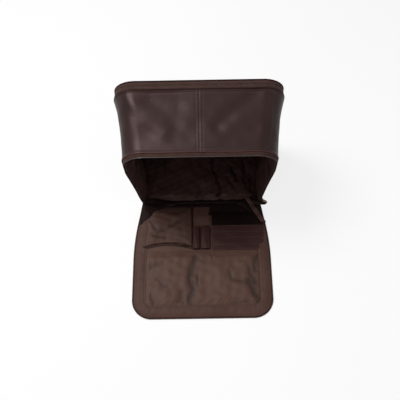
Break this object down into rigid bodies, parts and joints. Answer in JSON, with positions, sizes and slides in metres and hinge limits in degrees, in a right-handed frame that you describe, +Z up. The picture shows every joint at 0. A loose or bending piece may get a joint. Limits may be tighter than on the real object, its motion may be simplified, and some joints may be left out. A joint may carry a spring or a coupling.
{
  "type": "garment bag",
  "caption": "Soft leather garment case standing open on its base, its zipped front lid folded down flat, with a pouch, pen loops and a card holder inside the lid.",
  "frame": {"origin": "centre of the base's flat underside, under the main compartment", "axes": "+Z up, +Y towards the back of the case, away from the opened lid, +X to the right"},
  "size_m": [0.446, 0.5639, 0.4101],
  "materials": {
    "case_leather": "smooth dark brown leather, softly shining",
    "trim_leather": "reddish brown leather",
    "card_holder_leather": "smooth dark brown leather",
    "lining_cloth": "brown satin lining",
    "zip_tape": "woven dark brown tape",
    "zip_coil": "dark red brown nylon coil",
    "stiffener": "hidden stiff board",
    "foam": "hidden thin padding",
    "old_brass": "aged brass"
  },
  "bodies": {
    "body": {"base_leather": "case_leather", "base_board": "stiffener", "gusset_left": "case_leather", "gusset_right": "case_leather", "rim_zip_tape": "zip_tape", "rim_zip_coil": "zip_coil", "main_lining": "lining_cloth", "hinge_welt": "case_leather", "divider_panel": "case_leather", "rear_piping_front": "trim_leather", "rear_piping_back": "trim_leather", "rear_zip_tape_front": "zip_tape", "rear_zip_tape_back": "zip_tape", "rear_zip_coil": "zip_coil", "back_leather": "case_leather", "back_board": "stiffener", "handle_tab_left": "case_leather", "handle_tab_right": "case_leather", "handle_rivets": "old_brass"},
    "lid": {"lid_leather": "case_leather", "lid_zip_tape": "zip_tape", "lid_zip_coil": "zip_coil", "lid_facing": "trim_leather", "lid_padding": "foam", "lid_lining": "lining_cloth", "zip_pouch": "lining_cloth", "pocket_zip_tape": "zip_tape", "pocket_zip_coil": "zip_coil", "pen_backing": "card_holder_leather", "pen_loop_left": "card_holder_leather", "pen_loop_right": "card_holder_leather", "card_back": "card_holder_leather", "card_slot_1": "card_holder_leather", "card_slot_2": "card_holder_leather", "card_slot_3": "card_holder_leather", "card_slot_4": "card_holder_leather"},
    "main_slider": {"main_slider": "old_brass"},
    "main_pull": {"main_pull": "old_brass"},
    "rear_slider": {"rear_slider": "old_brass"},
    "rear_pull": {"rear_pull": "old_brass"},
    "pocket_slider": {"pocket_slider": "old_brass"},
    "pocket_pull": {"pocket_pull": "old_brass"},
    "handle": {"handle_ring_left": "old_brass", "handle_ring_right": "old_brass", "handle_grip": "case_leather"}
  },
  "joints": [
    {"name": "lid_hinge", "type": "hinge", "parent": "body", "child": "lid", "pos_m": [0, -0.08864, 0.0046], "axis": [-1, 0, 0], "range_deg": [0, 82.1]},
    {"name": "main_slider_run", "type": "hinge", "parent": "body", "child": "main_slider", "pos_m": [-0.50689, -0.11432, 0.1882], "axis": [0, -0.9905, -0.1374], "range_deg": [0, 13.3]},
    {"name": "main_pull_swing", "type": "hinge", "parent": "main_slider", "child": "main_pull", "pos_m": [0.18276, -0.09143, 0.02322], "axis": [0, -0.9905, -0.1374], "range_deg": [0, 122]},
    {"name": "rear_slider_run", "type": "hinge", "parent": "body", "child": "rear_slider", "pos_m": [0.48423, 0.07639, 0.1882], "axis": [0, 0.9905, 0.1374], "range_deg": [0, 11.9]},
    {"name": "rear_pull_swing", "type": "hinge", "parent": "rear_slider", "child": "rear_pull", "pos_m": [-0.20996, 0.09705, 0.0393], "axis": [0, 0.9905, 0.1374], "range_deg": [0, 150]},
    {"name": "pocket_slider_run", "type": "hinge", "parent": "lid", "child": "pocket_slider", "pos_m": [-0.1015, -0.42826, 0.0083], "axis": [0, 0, 1], "range_deg": [0, 31]},
    {"name": "pocket_pull_swing", "type": "hinge", "parent": "pocket_slider", "child": "pocket_pull", "pos_m": [-0.04611, -0.22854, 0.01165], "axis": [0.2672, 0.9636, 0], "range_deg": [0, 170]},
    {"name": "handle_swing", "type": "hinge", "parent": "body", "child": "handle", "pos_m": [0, 0.07601, 0.3274], "axis": [1, 0, 0], "range_deg": [0, 150]}
  ]
}
